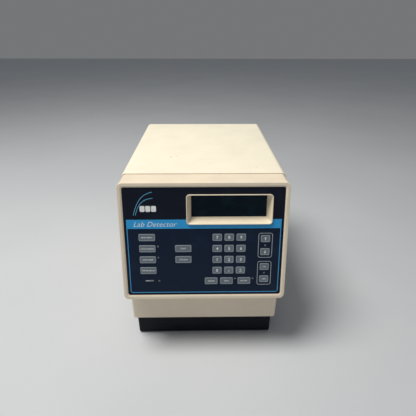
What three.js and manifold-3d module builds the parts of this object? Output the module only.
// Benchtop laboratory detector: a painted steel case on a black plinth, with a leaning front housing
// that holds a membrane keypad and a deep-set display. Units are millimetres, +Z is up, the front faces
// -Y, and the origin is on the standing surface under the middle of the whole instrument.

import * as THREE from "three";
import { mergeVertices } from "three/addons/utils/BufferGeometryUtils.js";
import Module from "manifold-3d";

const wasm = await Module();
wasm.setup();

// ---------------------------------------------------------------- driving dimensions

const GAP = 0.3; // between neighbouring pieces
const DEPTH = 400; // front edge of the housing to the end of the ground post
const WIDTH = 266; // across the front rim
const COVER_WIDTH = 267;
const CASE_TOP = 310.8; // top of the cover
const CASE_BOTTOM = 44.7; // lower edge of the cover, over the plinth
const FOOT_HEIGHT = 3;

const LEAN = THREE.MathUtils.degToRad(12.7); // the front panel leans back from upright
const RIM_BOTTOM = 118; // lowest edge of the front rim
const RIM_TOP = 310.1;
const RIM_RADIUS = 8;
const RIM_THICK = 9; // front to back, along Y
const NECK_INSET = 0.7; // the housing behind the rim is this much smaller all round
const LIP_INSET = 1.4; // and where it reaches in under the cover, this much
const PANEL_INSET = 7; // rim's outer edge to the overlay's edge
const PANEL_DEEP = 1.2; // overlay's face behind the rim's face

const SEAM = 79.9; // front edge of the cover, behind the front edge of the rim
const LIP = 9; // how far the front mouldings reach in under the cover
const COVER_BACK = 390;
const COVER_THICK = 1.5;
const COVER_RADIUS = 8;
const COVER_FLANGE = 12; // turned-in edge at the back

const CHIN_WIDTH = 261.2; // lower front panel
const CHIN_FRONT = 29.5;
const CHIN_RADIUS = 5;
const CHIN_THICK = 3;

const PLINTH_WIDTH = 249;
const PLINTH_FRONT = 35.2;
const PLINTH_BACK = 384.5;
const PLINTH_TOP = 44.4;
const PLINTH_WALL = 2.5;

const SHEET = 1.6; // chassis and rear panel
const PANEL_BACK = COVER_BACK - COVER_THICK - GAP; // rear panel's outer face

// Keypad, measured on the panel: x from the middle, v up the slope from the rim's lower edge.
const PITCH = 19.05;
const KEY_ROWS = [0, 1, 2, 3].map((row) => 108.45 - row * PITCH);
const DIGIT_X = 20.9; // left column of the digit block
const DIGIT_KEY = [15.2, 12];
const MENU_X = -90.8;
const RUN_X = -33.5;
const WIDE_KEY = [26.2, 11.9];
const WIDE_ROWS = KEY_ROWS.map((v) => v + 0.3);
const ENTRY_ROW = 32.35;
const ENTRY_X = [11.35, 36.4, 65.3];
const ENTRY_KEY = [21.1, 12];
const SIDE_X = 97.8; // the two framed pairs on the right
const SIDE_ROWS = [105.8, 83.3, 57.2, 35.3];
const SIDE_KEY = [15, 12];
const KEY_PROUD = 0.5;
const KEY_THICK = 3;
const KEY_PLAY = 0.3;

const LAMP_RADIUS = 1.5;
const LAMP_ABOVE = 4; // lamp above the middle of its key
const LAMP_BESIDE = 3.8; // lamp beside its key's edge
const LAMPS = [
  [MENU_X + WIDE_KEY[0] / 2 + LAMP_BESIDE, KEY_ROWS[1] + LAMP_ABOVE],
  [MENU_X + WIDE_KEY[0] / 2 + LAMP_BESIDE, KEY_ROWS[2] + LAMP_ABOVE],
  [MENU_X + WIDE_KEY[0] / 2 + LAMP_BESIDE, ENTRY_ROW + 0.6],
  [ENTRY_X[1] + ENTRY_KEY[0] / 2 + 3.6, ENTRY_ROW + LAMP_ABOVE],
  [ENTRY_X[2] + ENTRY_KEY[0] / 2 + 3.6, ENTRY_ROW + LAMP_ABOVE],
  [SIDE_X, (SIDE_ROWS[0] + SIDE_ROWS[1]) / 2],
  [SIDE_X, (SIDE_ROWS[2] + SIDE_ROWS[3]) / 2],
];

// Display: its frame stands a little proud of the overlay and the window lies deep inside it.
const FRAME_X = 39.8; // middle of the display
const FRAME_V = 154.55;
const FRAME_SIZE = [134.7, 48.4];
const FRAME_RADIUS = 5;
const FRAME_PROUD = 2.5;
const WINDOW_DEEP = 16; // lip to window
const WALL_SLOPES = { side: 7.3, top: 5, bottom: 8.7 }; // how far in each wall ends, from the lip's edge

// Rear panel fittings: x and z of their middles.
const FAN = { x: -62, z: 232, size: 80, deep: 25 };
const INLET = { x: -92, z: 100, width: 32, height: 74 };
const SERIAL = { x: 55, z: 92 };
const TERMINALS = { x: 55, z: 136 };
const CELL_SOCKETS = { x: [35, 75], z: 232 };
const GROUND_POST = { x: 104, z: 232 };

// ---------------------------------------------------------------- materials

function material(color, roughness, metalness = 0) {
  return new THREE.MeshStandardMaterial({ color, roughness, metalness });
}

const beigePaint = material(0xe9dfc6, 0.5);
const beigeMoulding = material(0xdccfb2, 0.55);
const blackPaint = material(0x11141c, 0.5);
const overlayFilm = material(0x161b28, 0.35);
const keyFilm = material(0x5d646c, 0.45);
const windowGlass = material(0x0a1418, 0.08);
const steel = material(0xb5b8ba, 0.4, 0.9);
const aluminium = material(0xc8cacc, 0.35, 0.9);
const boardGreen = material(0x1e5a34, 0.6);
const blackPlastic = material(0x17181a, 0.5);
const rubber = material(0x161616, 0.85);
const brass = material(0xc2a04e, 0.35, 0.9);

// ---------------------------------------------------------------- shapes and solids

const group = new THREE.Group();

// Everything on the leaning panel is built flat: x across, y up the slope, z out of the panel.
const panel = new THREE.Group();
panel.position.set(0, fromFront(0), RIM_BOTTOM);
panel.rotation.x = Math.PI / 2 - LEAN;
group.add(panel);

/** Y of a plane that lies d behind the front edge of the rim. */
function fromFront(d) {
  return d - DEPTH / 2;
}

function place(name, geometry, mat, parent = group) {
  const mesh = new THREE.Mesh(geometry, mat);
  mesh.name = name;
  parent.add(mesh);
  return mesh;
}

function roundedRect(width, height, radius, x = 0, y = 0) {
  const [w, h] = [width / 2, height / 2];
  const shape = new THREE.Shape();
  shape.absarc(x + w - radius, y - h + radius, radius, -Math.PI / 2, 0);
  shape.absarc(x + w - radius, y + h - radius, radius, 0, Math.PI / 2);
  shape.absarc(x - w + radius, y + h - radius, radius, Math.PI / 2, Math.PI);
  shape.absarc(x - w + radius, y - h + radius, radius, Math.PI, 1.5 * Math.PI);
  shape.closePath();
  return shape;
}

function polygon(points) {
  return new THREE.Shape(points.map(([x, y]) => new THREE.Vector2(x, y)));
}

function circle(radius, x = 0, y = 0, sides = 12) {
  const turn = (k) => (k / sides) * 2 * Math.PI;
  return polygon(
    Array.from({ length: sides }, (_, k) => [
      x + radius * Math.cos(turn(k)),
      y + radius * Math.sin(turn(k)),
    ]),
  );
}

/** A prism standing on z = from, as high as z = to. */
function prism(shape, from, to, holes = [], segments = 2) {
  shape.holes = holes;
  const geometry = new THREE.ExtrudeGeometry(shape, {
    depth: to - from,
    bevelEnabled: false,
    curveSegments: segments,
  });
  return geometry.translate(0, 0, from);
}

/** A prism whose outline is drawn looking from the front, x across and z up, between two distances back. */
function prismBack(shape, from, to, holes = [], segments = 2) {
  return prism(shape, -to, -from, holes, segments)
    .rotateX(Math.PI / 2)
    .translate(0, fromFront(0), 0);
}

function solidOf(geometry) {
  const bare = geometry.clone();
  bare.deleteAttribute("normal");
  bare.deleteAttribute("uv");
  const merged = mergeVertices(bare, 1e-4);
  return new wasm.Manifold(
    new wasm.Mesh({
      numProp: 3,
      vertProperties: merged.attributes.position.array,
      triVerts: new Uint32Array(merged.index.array),
    }),
  );
}

function geometryOf(solid) {
  const mesh = solid.getMesh();
  const positions = new Float32Array(mesh.numVert * 3);
  for (let i = 0; i < mesh.numVert; i++) {
    positions.set(mesh.vertProperties.subarray(i * mesh.numProp, i * mesh.numProp + 3), i * 3);
  }
  return new THREE.BufferGeometry()
    .setAttribute("position", new THREE.BufferAttribute(positions, 3))
    .setIndex(new THREE.BufferAttribute(mesh.triVerts, 1));
}

function joined(...geometries) {
  return geometryOf(geometries.map(solidOf).reduce((a, b) => a.add(b)));
}

function cutFrom(geometry, ...tools) {
  return geometryOf(tools.map(solidOf).reduce((a, b) => a.subtract(b), solidOf(geometry)));
}

function box(width, depth, height, x, y, z) {
  return new THREE.BoxGeometry(width, depth, height).translate(x, y, z + height / 2);
}

/** The outline of one ring of a band or stack: a rounded rectangle, anticlockwise. */
function ringPoints({ x0, x1, y0, y1, radius }, segments) {
  const corners = [
    [x1 - radius, y0 + radius, -Math.PI / 2],
    [x1 - radius, y1 - radius, 0],
    [x0 + radius, y1 - radius, Math.PI / 2],
    [x0 + radius, y0 + radius, Math.PI],
  ];
  return corners.flatMap(([cx, cy, start]) =>
    Array.from({ length: segments + 1 }, (_, k) => {
      const angle = start + (k / segments) * (Math.PI / 2);
      return [cx + radius * Math.cos(angle), cy + radius * Math.sin(angle)];
    }),
  );
}

/** Joins rings of equal point counts. A closed run makes a band with a hole; an open one gets end caps. */
function skinOver(rings, closed) {
  const count = rings[0].length;
  const index = [];
  const bands = closed ? rings.length : rings.length - 1;
  for (let i = 0; i < bands; i++) {
    const [a, b] = [i * count, ((i + 1) % rings.length) * count];
    for (let j = 0; j < count; j++) {
      const k = (j + 1) % count;
      index.push(a + j, b + j, a + k, a + k, b + j, b + k);
    }
  }
  if (!closed) {
    const last = (rings.length - 1) * count;
    for (let j = 1; j < count - 1; j++) {
      index.push(0, j, j + 1, last, last + j + 1, last + j);
    }
  }
  return new THREE.BufferGeometry()
    .setAttribute("position", new THREE.Float32BufferAttribute(rings.flat(2), 3))
    .setIndex(index);
}

/** A rounded block: rows of [inset, z] from the top of the block to its bottom. */
function block(width, height, radius, rows, segments = 1) {
  const rings = rows.map(([inset, z]) =>
    ringPoints(
      {
        x0: inset - width / 2,
        x1: width / 2 - inset,
        y0: inset - height / 2,
        y1: height / 2 - inset,
        radius: radius - inset,
      },
      segments,
    ).map(([x, y]) => [x, y, z]),
  );
  return skinOver(rings, false);
}

/** A solid of revolution about +Y, pointing backwards: rows of [radius, distance behind the front edge]. */
function turned(rows, x, z, segments = 16) {
  const profile = rows.map(([radius, back]) => new THREE.Vector2(radius, fromFront(back)));
  return new THREE.LatheGeometry(profile, segments).translate(x, 0, z);
}

// ---------------------------------------------------------------- front housing

/** Moulded tube with a leaning front: rim flange, chamfered opening, and a neck that runs in under the cover. */
function frontHousing() {
  const slope = Math.tan(LEAN);
  const neck = NECK_INSET;
  const lip = LIP_INSET;
  // inset from the rim's outline, distance back, and whether the ring leans with the panel
  const rows = [
    [0.9, 0, true],
    [0.25, 0.25, true],
    [0, 0.9, true],
    [0, RIM_THICK, true],
    [neck, RIM_THICK, true],
    [neck, SEAM - GAP, false],
    [lip, SEAM - GAP, false],
    [lip, SEAM + LIP, false],
    [PANEL_INSET, SEAM + LIP, false],
    [PANEL_INSET, PANEL_DEEP, true],
    [4.6, 0, true],
  ];
  const rings = rows.map(([inset, back, leans]) =>
    ringPoints(
      {
        x0: inset - WIDTH / 2,
        x1: WIDTH / 2 - inset,
        y0: RIM_BOTTOM + inset,
        y1: RIM_TOP - inset,
        radius: Math.max(RIM_RADIUS - inset * 0.7, 3.4),
      },
      4,
    ).map(([x, z]) => [x, z, -(fromFront(back) + (leans ? (z - RIM_BOTTOM) * slope : 0))]),
  );
  return skinOver(rings, true).rotateX(Math.PI / 2);
}

/** Lower front panel: a U in plan, its ends reaching in under the cover. */
function lowerFrontPanel() {
  const outline = (inset, radius) => {
    const [x, y, end] = [CHIN_WIDTH / 2 - inset, fromFront(CHIN_FRONT) + inset, fromFront(SEAM + LIP)];
    const path = new THREE.Path();
    path.moveTo(-x, end);
    path.lineTo(-x, y + radius);
    path.absarc(-x + radius, y + radius, radius, Math.PI, 1.5 * Math.PI);
    path.absarc(x - radius, y + radius, radius, -Math.PI / 2, 0);
    path.lineTo(x, end);
    return path.getPoints(3);
  };
  const outer = outline(0, CHIN_RADIUS);
  const inner = outline(CHIN_THICK, CHIN_RADIUS - CHIN_THICK).reverse();
  return prism(new THREE.Shape([...outer, ...inner]), PLINTH_TOP, RIM_BOTTOM + NECK_INSET - GAP);
}

// ---------------------------------------------------------------- panel stack

const PANEL_HEIGHT = (RIM_TOP - RIM_BOTTOM) / Math.cos(LEAN); // up the slope
const OVERLAY_FACE = -PANEL_DEEP * Math.cos(LEAN);
const OVERLAY_THICK = 1;
const PLATE_FACE = OVERLAY_FACE - OVERLAY_THICK - GAP;
const PLATE_THICK = 2;
const BOARD_FACE = OVERLAY_FACE + KEY_PROUD - KEY_THICK - 1.5;
const OVERLAY_WIDTH = WIDTH - 2 * (PANEL_INSET + GAP);
const SLEEVE = 1.4; // the display frame's sleeve is this much inside its lip

const keys = [];
function addKeys(names, columns, rows, size) {
  names.forEach((name, i) => {
    const [x, v] = [columns[i % columns.length], rows[Math.floor(i / columns.length)]];
    keys.push({ name, x, v, size });
  });
}
const digitColumns = [0, 1, 2].map((column) => DIGIT_X + column * PITCH);
const digitNames = ["7", "8", "9", "4", "5", "6", "1", "2", "3", "0", "dot", "sign"];
addKeys(["menu", "hold", "range", "setup"], [MENU_X], WIDE_ROWS, WIDE_KEY);
addKeys(["run", "stop"], [RUN_X], WIDE_ROWS.slice(1, 3), WIDE_KEY);
addKeys(digitNames, digitColumns, KEY_ROWS, DIGIT_KEY);
addKeys(["clear", "zero", "enter"], ENTRY_X, [ENTRY_ROW], ENTRY_KEY);
addKeys(["up", "down", "on", "off"], [SIDE_X], SIDE_ROWS, SIDE_KEY);

function keyCap({ size: [width, height] }) {
  const top = OVERLAY_FACE + KEY_PROUD;
  return block(width, height, 1.5, [
    [0.4, top],
    [0, top - 0.4],
    [0, top - KEY_THICK],
  ]);
}

function keyHole({ x, v, size: [width, height] }, play) {
  return roundedRect(width + 2 * play, height + 2 * play, 1.5, x, v);
}

function displayHole(play) {
  const [width, height] = FRAME_SIZE.map((size) => size - 2 * SLEEVE + 2 * play);
  return roundedRect(width, height, FRAME_RADIUS - SLEEVE, FRAME_X, FRAME_V);
}

/** The largest sheet that fits in the housing's opening between two heights out of the panel. */
function sheetOutline(face, rear) {
  const bottom = (PANEL_INSET - rear * Math.sin(LEAN)) / Math.cos(LEAN) + GAP;
  const top = PANEL_HEIGHT - (PANEL_INSET + face * Math.sin(LEAN)) / Math.cos(LEAN) - GAP;
  return roundedRect(OVERLAY_WIDTH, top - bottom, 3.4, 0, (top + bottom) / 2);
}

/** Printed film with an opening for each key cap, for each lamp and for the display frame. */
function keypadOverlay() {
  const holes = [
    ...keys.map((key) => keyHole(key, KEY_PLAY)),
    ...LAMPS.map(([x, v]) => circle(LAMP_RADIUS + GAP, x, v)),
    displayHole(GAP),
  ];
  const rear = OVERLAY_FACE - OVERLAY_THICK;
  return prism(sheetOutline(OVERLAY_FACE, rear), rear, OVERLAY_FACE, holes);
}

/** Aluminium plate behind the film, cut away around each group of keys. */
function panelPlate() {
  const margin = 1;
  const lampSpace = LAMP_BESIDE + LAMP_RADIUS + margin;
  const around = (members, right = margin) => {
    const low = [Infinity, Infinity];
    const high = [-Infinity, -Infinity];
    members.forEach(({ x, v, size }) => {
      low[0] = Math.min(low[0], x - size[0] / 2);
      high[0] = Math.max(high[0], x + size[0] / 2);
      low[1] = Math.min(low[1], v - size[1] / 2);
      high[1] = Math.max(high[1], v + size[1] / 2);
    });
    const width = high[0] - low[0] + margin + right;
    const height = high[1] - low[1] + 2 * margin;
    return roundedRect(width, height, 1, low[0] - margin + width / 2, low[1] - margin + height / 2);
  };
  const cutouts = [
    around(keys.slice(0, 4), lampSpace),
    around(keys.slice(4, 6)),
    around(keys.slice(6, 18)),
    around(keys.slice(18, 21), lampSpace),
    around(keys.slice(21, 23)),
    around(keys.slice(23, 25)),
    circle(LAMP_RADIUS + 1, ...LAMPS[2]),
    displayHole(GAP),
  ];
  const rear = PLATE_FACE - PLATE_THICK;
  return prism(sheetOutline(PLATE_FACE, rear), rear, PLATE_FACE, cutouts, 1);
}

/** Switch board with its indicator lamps, which stand up through the plate and the film. */
function keypadBoard() {
  const [low, high] = [18, 119];
  const thick = 1.6;
  const board = prism(
    roundedRect(236, high - low, 2, 0, (low + high) / 2),
    BOARD_FACE - thick,
    BOARD_FACE,
    [],
    1,
  );
  const lamps = LAMPS.map(([x, v]) => prism(circle(LAMP_RADIUS, x, v), BOARD_FACE - 0.5, OVERLAY_FACE - 0.3));
  return joined(board, ...lamps);
}

/** Display frame: a rounded lip over the film, walls that slope in to the window, and a sleeve through the plate. */
function displayFrame() {
  const [width, height] = FRAME_SIZE;
  const lip = OVERLAY_FACE + FRAME_PROUD;
  const seat = OVERLAY_FACE + GAP;
  const rear = lip - WINDOW_DEEP;
  const { side, top, bottom } = WALL_SLOPES;
  // insets from the lip's outline at the sides, the top and the bottom, and height out of the panel
  const rows = [
    [0.7, 0.7, 0.7, lip],
    [0.2, 0.2, 0.2, lip - 0.2],
    [0, 0, 0, lip - 0.7],
    [0, 0, 0, seat],
    [SLEEVE, SLEEVE, SLEEVE, seat],
    [SLEEVE, SLEEVE, SLEEVE, rear],
    [side, top, bottom, rear],
    [2.4, 2.3, 2.6, lip - 1],
    [1.9, 1.9, 1.9, lip - 0.15],
  ];
  const rings = rows.map(([across, down, up, z]) =>
    ringPoints(
      {
        x0: across - width / 2,
        x1: width / 2 - across,
        y0: up - height / 2,
        y1: height / 2 - down,
        radius: Math.max(FRAME_RADIUS - across, 1.2),
      },
      3,
    ).map(([x, y]) => [x + FRAME_X, y + FRAME_V, z]),
  );
  return skinOver(rings, true);
}

const DISPLAY_REAR = OVERLAY_FACE + FRAME_PROUD - WINDOW_DEEP;
const WINDOW_THICK = 1.5;

function displayWindow() {
  const { side, top, bottom } = WALL_SLOPES;
  const overlap = 2; // the pane is larger than the opening it closes
  const width = FRAME_SIZE[0] - 2 * (side - overlap);
  const height = FRAME_SIZE[1] - top - bottom + 2 * overlap;
  const face = DISPLAY_REAR - GAP;
  const middle = FRAME_V + (bottom - top) / 2;
  return prism(roundedRect(width, height, 1, FRAME_X, middle), face - WINDOW_THICK, face, [], 1);
}

/** Character display: glass in a metal frame on its own circuit board. */
function displayModule() {
  const face = DISPLAY_REAR - 2 * GAP - WINDOW_THICK;
  const frame = prism(roundedRect(134, 46, 1, FRAME_X, FRAME_V), face - 8, face, [], 1);
  const board = prism(roundedRect(150, 58, 1, FRAME_X, FRAME_V), face - 9.6, face - 7.5, [], 1);
  return joined(frame, board);
}

// ---------------------------------------------------------------- case

/** Wrap-over cover: top and sides in one bent sheet, with a flange turned in at the back. */
function cover() {
  const wrap = (inset) => {
    const [x, top] = [COVER_WIDTH / 2 - inset, CASE_TOP - inset];
    const radius = COVER_RADIUS - Math.min(inset, COVER_THICK);
    const path = new THREE.Path();
    path.moveTo(x, CASE_BOTTOM);
    path.lineTo(x, top - radius);
    path.absarc(x - radius, top - radius, radius, 0, Math.PI / 2);
    path.absarc(-x + radius, top - radius, radius, Math.PI / 2, Math.PI);
    path.lineTo(-x, CASE_BOTTOM);
    return path.getPoints(5);
  };
  const sheet = new THREE.Shape([...wrap(0), ...wrap(COVER_THICK).reverse()]);
  const flange = new THREE.Shape([...wrap(0), ...wrap(COVER_FLANGE).reverse()]);
  return joined(
    prismBack(sheet, SEAM, COVER_BACK),
    prismBack(flange, COVER_BACK - COVER_THICK, COVER_BACK),
  );
}

/** Chassis tray: the floor of the case, narrower at the front, with a low wall along each side. */
function chassisTray() {
  const floorBottom = PLINTH_TOP + GAP;
  const wide = COVER_WIDTH / 2 - COVER_THICK - GAP;
  const narrow = CHIN_WIDTH / 2 - CHIN_THICK - GAP;
  const front = fromFront(CHIN_FRONT + CHIN_THICK + GAP);
  const step = fromFront(SEAM + LIP + GAP);
  const back = fromFront(PANEL_BACK - SHEET - GAP);
  const corner = CHIN_RADIUS - CHIN_THICK;
  const floor = polygon([
    [-narrow, front + corner],
    [-narrow + corner, front],
    [narrow - corner, front],
    [narrow, front + corner],
    [narrow, step],
    [wide, step],
    [wide, back],
    [-wide, back],
    [-wide, step],
    [-narrow, step],
  ]);
  const wallHeight = 20;
  const walls = [-1, 1].map((side) =>
    box(SHEET, back - step, wallHeight, side * (wide - SHEET / 2), (back + step) / 2, floorBottom),
  );
  return joined(prism(floor, floorBottom, floorBottom + SHEET), ...walls);
}

function basePlinth() {
  const middle = fromFront((PLINTH_FRONT + PLINTH_BACK) / 2);
  const length = PLINTH_BACK - PLINTH_FRONT;
  const outer = prism(roundedRect(PLINTH_WIDTH, length, 4, 0, middle), FOOT_HEIGHT, PLINTH_TOP);
  const inner = prism(
    roundedRect(PLINTH_WIDTH - 2 * PLINTH_WALL, length - 2 * PLINTH_WALL, 1.5, 0, middle),
    FOOT_HEIGHT + PLINTH_WALL,
    PLINTH_TOP + 1,
  );
  return cutFrom(outer, inner);
}

const FOOT_X = 98;
const FOOT_FROM_ENDS = 26;

function foot(x, y) {
  const top = FOOT_HEIGHT - GAP;
  const profile = [
    [0, 0],
    [10.5, 0],
    [12, 1.5],
    [12, top],
    [0, top],
  ];
  return new THREE.LatheGeometry(
    profile.map(([radius, z]) => new THREE.Vector2(radius, z)),
    16,
  )
    .rotateX(Math.PI / 2)
    .translate(x, y, 0);
}

// ---------------------------------------------------------------- rear panel and its fittings

const INLET_BODY = [27.5, 66]; // through the panel, across and up
const INLET_DEEP = 32;
const INLET_FLANGE = 3;
const SOCKET = { z: -19.5, width: 24, height: 16, deep: 16 };
const FUSE = { z: -2.5, width: 22, height: 9, deep: 20 };
const ROCKER = { z: 17.5, width: 13, height: 23, deep: 11 };

/** Sheet-metal back with a slotted vent in front of the fan and a cut-out for each connector. */
function rearPanel() {
  const width = COVER_WIDTH - 2 * (COVER_THICK + GAP);
  const bottom = PLINTH_TOP + GAP + SHEET + GAP;
  const top = CASE_TOP - COVER_THICK - GAP;
  const outline = roundedRect(width, top - bottom, COVER_RADIUS - COVER_THICK, 0, (top + bottom) / 2);
  const slotPitch = 7.6;
  const slots = [-4, -3, -2, -1, 0, 1, 2, 3, 4].map((step) => {
    const offset = step * slotPitch;
    const reach = 2 * Math.sqrt(37 ** 2 - offset ** 2);
    return roundedRect(reach, 3.8, 1.8, FAN.x, FAN.z + offset);
  });
  const holes = [
    ...slots,
    roundedRect(INLET_BODY[0] + 2 * GAP, INLET_BODY[1] + 2 * GAP, 1, INLET.x, INLET.z),
    roundedRect(42, 11, 2, SERIAL.x, SERIAL.z),
    roundedRect(90, 9, 1, TERMINALS.x, TERMINALS.z),
    ...CELL_SOCKETS.x.map((x) => circle(7.6, x, CELL_SOCKETS.z)),
    circle(3.2, GROUND_POST.x, GROUND_POST.z),
  ];
  return prismBack(outline, PANEL_BACK - SHEET, PANEL_BACK, holes, 2);
}

/** Square fan frame with a round duct. */
function fanFrame() {
  const back = PANEL_BACK - SHEET - GAP;
  const outline = roundedRect(FAN.size, FAN.size, 4, FAN.x, FAN.z);
  const ring = prismBack(outline, back - FAN.deep, back, [circle(38, FAN.x, FAN.z, 24)], 2);
  const hubHolder = prismBack(circle(17, FAN.x, FAN.z, 16), back - FAN.deep, back - FAN.deep + 3);
  const arms = [0, 1, 2].map((arm) => {
    const angle = (arm / 3) * 2 * Math.PI + Math.PI / 2;
    return new THREE.BoxGeometry(26, 3, 4)
      .translate(26, 0, 0)
      .rotateY(angle)
      .translate(FAN.x, fromFront(back - FAN.deep + 1.5), FAN.z);
  });
  return joined(ring, hubHolder, ...arms);
}

/** Hub with seven pitched blades, turning about Y. */
function fanRotor() {
  const back = PANEL_BACK - SHEET - GAP;
  const [start, end] = [back - FAN.deep + 4, back - 2.5];
  const middle = (start + end) / 2;
  const hub = turned(
    [
      [0, start],
      [16, start],
      [16, end],
      [0, end],
    ],
    FAN.x,
    FAN.z,
    14,
  );
  const bladeCount = 7;
  const blades = Array.from({ length: bladeCount }, (_, k) =>
    new THREE.BoxGeometry(21.5, 1.6, 17)
      .rotateX(THREE.MathUtils.degToRad(52))
      .translate(15 + 21.5 / 2, 0, 0)
      .rotateY((k / bladeCount) * 2 * Math.PI)
      .translate(FAN.x, fromFront(middle), FAN.z),
  );
  return joined(hub, ...blades);
}

/** Mains inlet with a fuse pocket and a switch pocket in one housing. */
function powerInlet() {
  const flangeBack = PANEL_BACK + GAP + INLET_FLANGE;
  const flange = prismBack(
    roundedRect(INLET.width, INLET.height, 2, INLET.x, INLET.z),
    PANEL_BACK + GAP,
    flangeBack,
    [],
    1,
  );
  const body = prismBack(
    roundedRect(...INLET_BODY, 1, INLET.x, INLET.z),
    PANEL_BACK - INLET_DEEP,
    flangeBack - 1,
    [],
    1,
  );
  const pocket = ({ z, width, height, deep }, play = 0) =>
    prismBack(
      roundedRect(width + 2 * play, height + 2 * play, 1, INLET.x, INLET.z + z),
      flangeBack - deep,
      flangeBack + 1,
      [],
      1,
    );
  const bladeAt = (x, z) =>
    box(2, 12, 4.6, INLET.x + x, fromFront(flangeBack - SOCKET.deep + 5), INLET.z + SOCKET.z + z - 2.3);
  const shell = cutFrom(joined(flange, body), pocket(SOCKET), pocket(FUSE, GAP), pocket(ROCKER));
  return joined(shell, bladeAt(-7, -1.5), bladeAt(7, -1.5), bladeAt(0, 3.5));
}

function fuseDrawer() {
  const flangeBack = PANEL_BACK + GAP + INLET_FLANGE;
  const body = prismBack(
    roundedRect(FUSE.width, FUSE.height, 1, INLET.x, INLET.z + FUSE.z),
    flangeBack - FUSE.deep + GAP,
    flangeBack + 0.8,
    [],
    1,
  );
  const pull = prismBack(
    roundedRect(10, 2.4, 1, INLET.x, INLET.z + FUSE.z - 2.4),
    flangeBack,
    flangeBack + 2.4,
    [],
    1,
  );
  return joined(body, pull);
}

const ROCKER_TILT = THREE.MathUtils.degToRad(8);
const ROCKER_PIVOT = PANEL_BACK + GAP + INLET_FLANGE - 2.2; // behind the front edge of the rim

/** Rocker with a shallow valley, drawn level about its pivot and then tilted to its off position. */
function rocker() {
  const side = [
    [-3.5, -6],
    [0, -9.2],
    [4.2, -9.2],
    [2.6, 0],
    [4.2, 9.2],
    [0, 9.2],
    [-3.5, 6],
  ];
  const width = ROCKER.width - 1;
  return prism(polygon(side), -width / 2, width / 2)
    .rotateX(Math.PI / 2)
    .rotateZ(Math.PI / 2)
    .rotateX(ROCKER_TILT)
    .translate(INLET.x, fromFront(ROCKER_PIVOT), INLET.z + ROCKER.z);
}

function dShape(width, height, x, z) {
  const [w, h, taper] = [width / 2, height / 2, height * 0.09];
  return polygon([
    [x - w + taper, z - h],
    [x + w - taper, z - h],
    [x + w, z + h],
    [x - w, z + h],
  ]);
}

/** Twenty-five-way D connector on its flange. */
function serialPort() {
  const face = PANEL_BACK + GAP;
  return joined(
    prismBack(roundedRect(53, 12.4, 1, SERIAL.x, SERIAL.z), face, face + 1, [], 1),
    prismBack(dShape(38.6, 8.2, SERIAL.x, SERIAL.z), face - 9, face + 6.2),
  );
}

/** Row of screw terminals: a stepped block that passes through the panel. */
function signalTerminals() {
  const face = PANEL_BACK + GAP;
  const [width, height] = [96, 15];
  const base = prismBack(roundedRect(width, height, 0.8, TERMINALS.x, TERMINALS.z), face, face + 5, [], 1);
  const step = prismBack(
    roundedRect(width - 2, 8.5, 0.8, TERMINALS.x, TERMINALS.z - 2.5),
    face + 4,
    face + 10,
    [],
    1,
  );
  const pins = prismBack(roundedRect(width - 8, 7, 0.8, TERMINALS.x, TERMINALS.z), face - 8, face + 1, [], 1);
  return joined(base, step, pins);
}

/** Round threaded cell socket, open towards the back. */
function cellSocket(x) {
  const face = PANEL_BACK + GAP;
  return turned(
    [
      [0, face - 12],
      [7.2, face - 12],
      [7.2, face],
      [10.5, face],
      [10.5, face + 2.5],
      [8.6, face + 2.5],
      [8.6, face + 10],
      [6.6, face + 10],
      [6.6, face + 1.5],
      [0, face + 1.5],
    ],
    x,
    CELL_SOCKETS.z,
    16,
  );
}

function groundPost() {
  const face = PANEL_BACK + GAP;
  const end = DEPTH;
  return turned(
    [
      [0, face - 6],
      [2.6, face - 6],
      [2.6, face],
      [6.5, face],
      [6.5, face + 2],
      [3, face + 2.4],
      [3, face + 4],
      [5.5, face + 4.4],
      [5.5, end - 0.8],
      [4.7, end],
      [0, end],
    ],
    GROUND_POST.x,
    GROUND_POST.z,
    14,
  );
}

const COVER_SCREWS = { x: 127, z: [70, 285] };

function coverScrew(side, z) {
  const head = COVER_BACK + GAP;
  return turned(
    [
      [0, head],
      [3.2, head],
      [3.2, head + 1.4],
      [2.2, head + 2.2],
      [0, head + 2.2],
    ],
    side * COVER_SCREWS.x,
    z,
    12,
  );
}

// ---------------------------------------------------------------- inside the case

const FLOOR = PLINTH_TOP + GAP + SHEET + GAP; // standing height for what is mounted on the tray

/** Laminated core with a coil bobbin through it. */
function transformer() {
  const y = fromFront(285);
  return joined(box(84, 70, 60, -70, y, FLOOR), box(58, 92, 44, -70, y, FLOOR + 8));
}

/** Processor board on four pillars, with its larger components. */
function mainBoard() {
  const y = fromFront(235);
  const level = FLOOR + 8;
  const pillars = [-1, 1].flatMap((sx) =>
    [-1, 1].map((sy) => box(6, 6, 8.5, 52 + sx * 64, y + sy * 124, FLOOR)),
  );
  const parts = [
    box(40, 60, 24, 30, y + 60, level),
    box(48, 16, 9, 70, y - 60, level),
    box(22, 22, 16, 20, y - 90, level),
  ];
  return joined(box(140, 260, 1.6, 52, y, level), ...pillars, ...parts);
}

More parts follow.
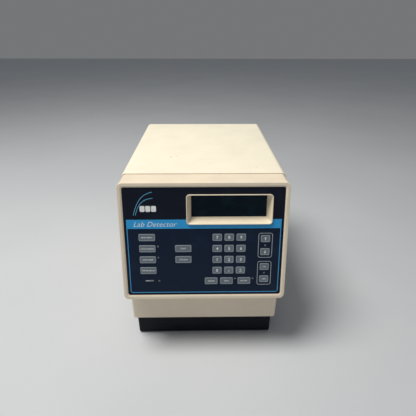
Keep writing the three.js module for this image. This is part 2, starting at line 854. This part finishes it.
/** Screened box that holds the input amplifiers, on a shelf bracket from the tray. */
function amplifierBox() {
  const y = fromFront(165);
  return joined(box(70, 110, 34, -70, y, FLOOR + 30), box(60, 90, 30.5, -70, y, FLOOR));
}

// ---------------------------------------------------------------- assembly

place("front_housing", frontHousing(), beigeMoulding);
place("lower_front_panel", lowerFrontPanel(), beigeMoulding);
place("cover", cover(), beigePaint);
place("chassis_tray", chassisTray(), steel);
place("base_plinth", basePlinth(), blackPaint);
place("rear_panel", rearPanel(), beigePaint);

const footRows = { front: PLINTH_FRONT + FOOT_FROM_ENDS, rear: PLINTH_BACK - FOOT_FROM_ENDS };
for (const [row, back] of Object.entries(footRows)) {
  place(`foot_${row}_left`, foot(-FOOT_X, fromFront(back)), rubber);
  place(`foot_${row}_right`, foot(FOOT_X, fromFront(back)), rubber);
}

place("keypad_overlay", keypadOverlay(), overlayFilm, panel);
place("panel_plate", panelPlate(), aluminium, panel);
place("keypad_board", keypadBoard(), boardGreen, panel);
place("display_frame", displayFrame(), beigeMoulding, panel);
place("display_window", displayWindow(), windowGlass, panel);
place("display_module", displayModule(), boardGreen, panel);
for (const key of keys) {
  place(`key_${key.name}`, keyCap(key), keyFilm, panel).position.set(key.x, key.v, 0);
}

place("fan_frame", fanFrame(), blackPlastic);
place("fan_rotor", fanRotor(), blackPlastic);
place("power_inlet", powerInlet(), blackPlastic);
place("fuse_drawer", fuseDrawer(), blackPlastic);
place("power_switch_rocker", rocker(), blackPlastic);
place("serial_port", serialPort(), steel);
place("signal_terminals", signalTerminals(), blackPlastic);
place("cell_socket_left", cellSocket(CELL_SOCKETS.x[0]), aluminium);
place("cell_socket_right", cellSocket(CELL_SOCKETS.x[1]), aluminium);
place("ground_post", groundPost(), brass);
for (const [height, z] of [["low", COVER_SCREWS.z[0]], ["high", COVER_SCREWS.z[1]]]) {
  place(`cover_screw_left_${height}`, coverScrew(-1, z), steel);
  place(`cover_screw_right_${height}`, coverScrew(1, z), steel);
}

place("transformer", transformer(), steel);
place("main_board", mainBoard(), boardGreen);
place("amplifier_box", amplifierBox(), aluminium);

export default group;
